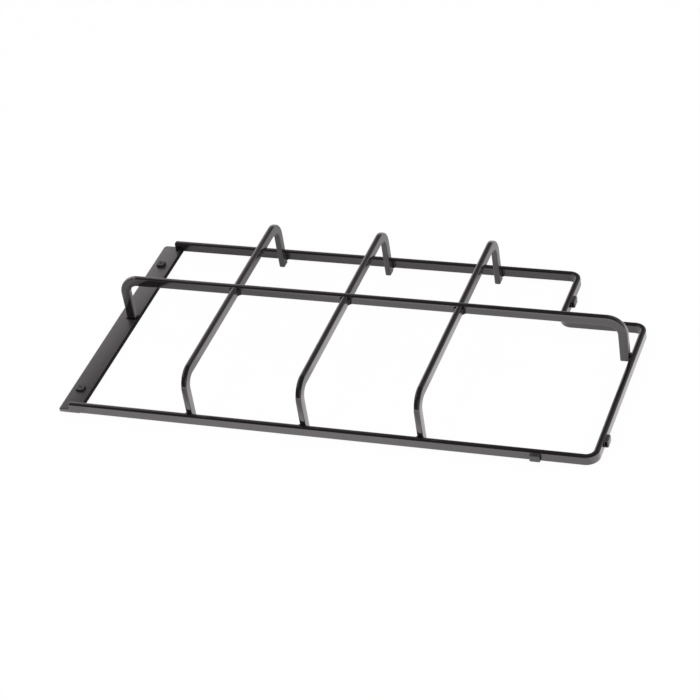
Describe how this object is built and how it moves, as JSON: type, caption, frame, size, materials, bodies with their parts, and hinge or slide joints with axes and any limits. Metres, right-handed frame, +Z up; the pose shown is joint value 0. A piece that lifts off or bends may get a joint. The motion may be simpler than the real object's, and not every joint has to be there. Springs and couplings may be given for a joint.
{
  "type": "gas hob pan support",
  "caption": "Enamelled steel gas hob pan support: bent flat bars welded in a raised grid on a flat end plate, with a notched corner, locating lugs and rubber feet.",
  "frame": {"origin": "centre of the footprint, lugs included, on the hob surface that the legs and rubber pads stand on", "axes": "+X along the long bar from the end plate towards the notched end, +Y from front to rear, +Z up towards the pan"},
  "size_m": [0.4654, 0.2446, 0.0488],
  "materials": {
    "rod_enamel": "glossy vitreous enamel, charcoal black",
    "plate_enamel": "glossy vitreous enamel, charcoal grey",
    "lug_enamel": "glossy vitreous enamel, charcoal black",
    "weld_enamel": "enamelled weld bead",
    "foot_rubber": "matte black rubber"
  },
  "bodies": {
    "root": {"frame_front_run": "rod_enamel", "frame_right_run": "rod_enamel", "frame_step_run": "rod_enamel", "frame_notch_run": "rod_enamel", "frame_rear_run": "rod_enamel", "frame_front_bend": "rod_enamel", "frame_right_bend": "rod_enamel", "frame_notch_bend": "rod_enamel", "frame_rear_bend": "rod_enamel", "end_plate": "plate_enamel", "long_bar": "rod_enamel", "left_cross_bar": "rod_enamel", "middle_cross_bar": "rod_enamel", "right_cross_bar": "rod_enamel", "front_foot": "foot_rubber", "rear_foot": "foot_rubber", "front_lug": "lug_enamel", "right_lug": "lug_enamel", "notch_lug": "lug_enamel", "front_end_welds": "weld_enamel", "rear_end_welds": "weld_enamel", "left_leg_welds": "weld_enamel", "middle_leg_welds": "weld_enamel", "right_leg_welds": "weld_enamel", "left_crossing_welds": "weld_enamel", "middle_crossing_welds": "weld_enamel", "right_crossing_welds": "weld_enamel", "left_foot_welds": "weld_enamel", "right_foot_welds": "weld_enamel"}
  },
  "joints": []
}
